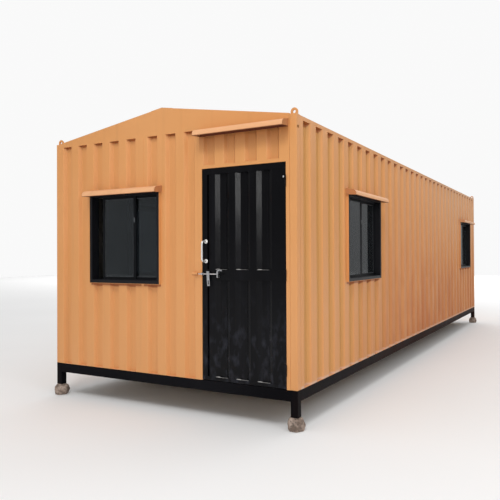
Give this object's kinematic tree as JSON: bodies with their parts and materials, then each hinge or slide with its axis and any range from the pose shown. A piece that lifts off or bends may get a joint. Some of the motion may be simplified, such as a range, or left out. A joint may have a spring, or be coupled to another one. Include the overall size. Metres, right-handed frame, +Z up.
{
  "type": "portable site cabin",
  "caption": "Long steel site cabin on corner legs, with corrugated orange walls, a low gable roof, framed windows under small canopies and a black outward-opening door with a slide bolt.",
  "frame": {"origin": "centre of the bounding box, on the ground under the packing stones", "axes": "+Z up, -Y out of the front with the door, +X to the right of someone facing the front"},
  "size_m": [3.288, 9.323, 3.069],
  "materials": {
    "rough_stone": "rough broken stone",
    "base_paint": "semi-gloss black enamel",
    "floor_board": "sealed plywood",
    "wall_paint": "satin orange enamel",
    "lining_board": "pale laminate board",
    "roof_paint": "satin orange enamel, weathered",
    "window_frame": "dark grey enamel",
    "window_sash": "dark anodised",
    "tinted_glass": "dark tinted",
    "canopy_paint": "satin orange enamel",
    "bare_steel": "zinc plated",
    "door_paint": "gloss black enamel",
    "chrome_plate": "bright plated"
  },
  "bodies": {
    "cabin": {"foot_stones": "rough_stone", "corner_legs": "base_paint", "base_rails_ends": "base_paint", "base_rails_sides": "base_paint", "floor_joists": "base_paint", "floor_deck": "floor_board", "corner_posts": "wall_paint", "lifting_lugs": "wall_paint", "top_rails_ends": "wall_paint", "top_rails_sides": "wall_paint", "front_wall": "wall_paint", "right_wall": "wall_paint", "left_wall": "wall_paint", "rear_wall": "wall_paint", "walls_below_windows": "wall_paint", "walls_above_openings": "wall_paint", "front_lining": "lining_board", "right_lining": "lining_board", "left_lining": "lining_board", "rear_lining": "lining_board", "ceiling": "lining_board", "front_gable": "wall_paint", "rear_gable": "wall_paint", "roof_sheet_right": "roof_paint", "roof_sheet_left": "roof_paint", "ridge_cap": "roof_paint", "window_jambs": "window_frame", "window_heads_and_sills": "window_frame", "window_sashes": "window_sash", "window_glass": "tinted_glass", "window_canopies": "canopy_paint", "door_jambs": "wall_paint", "door_head": "wall_paint", "door_stops": "wall_paint", "door_threshold": "bare_steel", "door_canopy": "canopy_paint", "hinge_pins": "bare_steel", "bolt_keep": "wall_paint"},
    "door": {"door_leaf_frame": "door_paint", "door_panels": "door_paint", "hinge_leaves": "bare_steel", "door_handle": "chrome_plate", "bolt_guides": "bare_steel"},
    "bolt": {"slide_bolt": "chrome_plate"}
  },
  "joints": [
    {"name": "door_hinge", "type": "hinge", "parent": "cabin", "child": "door", "pos_m": [1.4135, -4.5495, 0.36], "axis": [0, 0, 1], "range_deg": [0, 110]},
    {"name": "bolt_slide", "type": "slide", "parent": "door", "child": "bolt", "axis": [-1, 0, 0], "range_m": [0, 0.045]}
  ]
}
